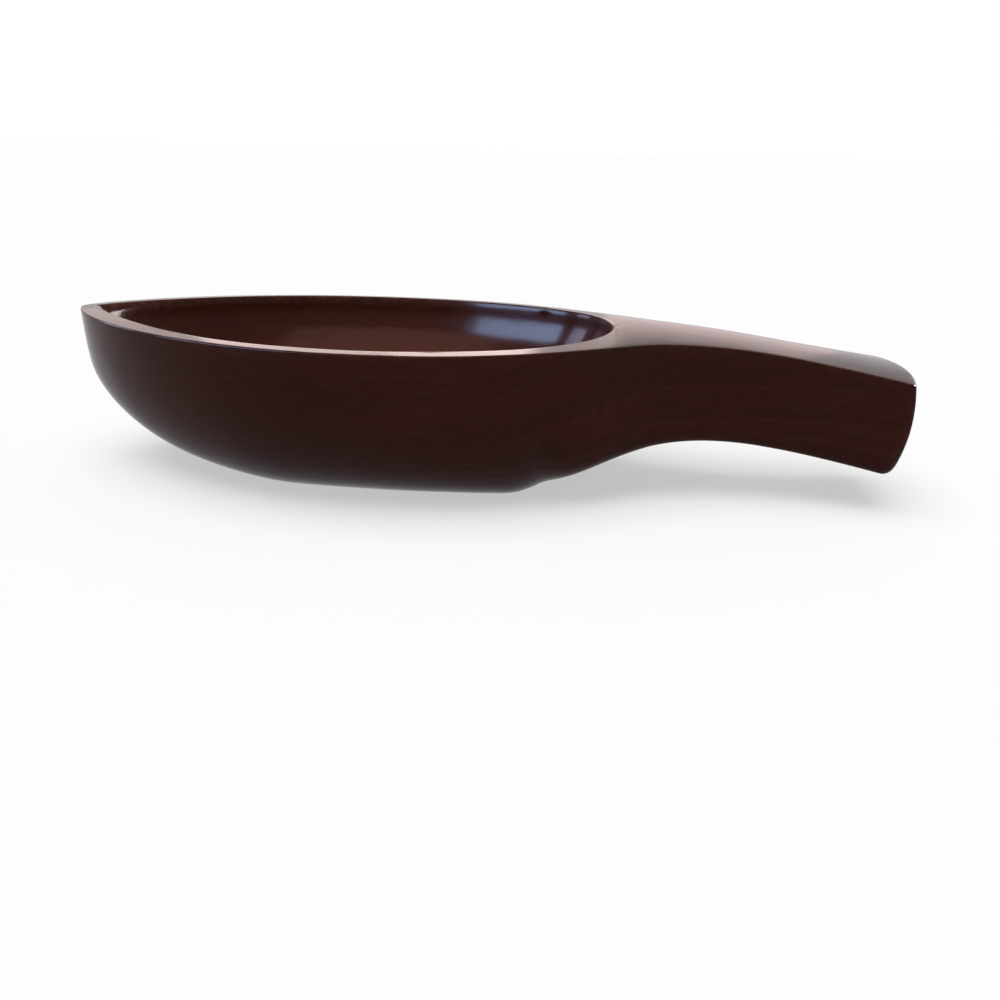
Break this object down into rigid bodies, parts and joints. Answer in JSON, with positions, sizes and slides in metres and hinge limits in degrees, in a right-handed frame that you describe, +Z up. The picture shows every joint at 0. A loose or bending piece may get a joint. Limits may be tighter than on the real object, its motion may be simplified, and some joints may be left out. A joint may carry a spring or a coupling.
{
  "type": "serving dish",
  "caption": "Boat-shaped serving dish carved from one block of wood, with a pointed nose, an oval hollow, a flat foot and a short drooping handle flared at its end.",
  "frame": {"origin": "middle of the flat foot, on the surface that the dish stands on", "axes": "+X from the nose to the handle, +Z up out of the hollow, +Y to the left when looking along +X; the dish is symmetric about the XZ plane"},
  "size_m": [0.4285, 0.154, 0.0823],
  "materials": {
    "polished_wood": "dark red-brown wood under a clear gloss finish"
  },
  "bodies": {
    "root": {"dish": "polished_wood"}
  },
  "joints": []
}
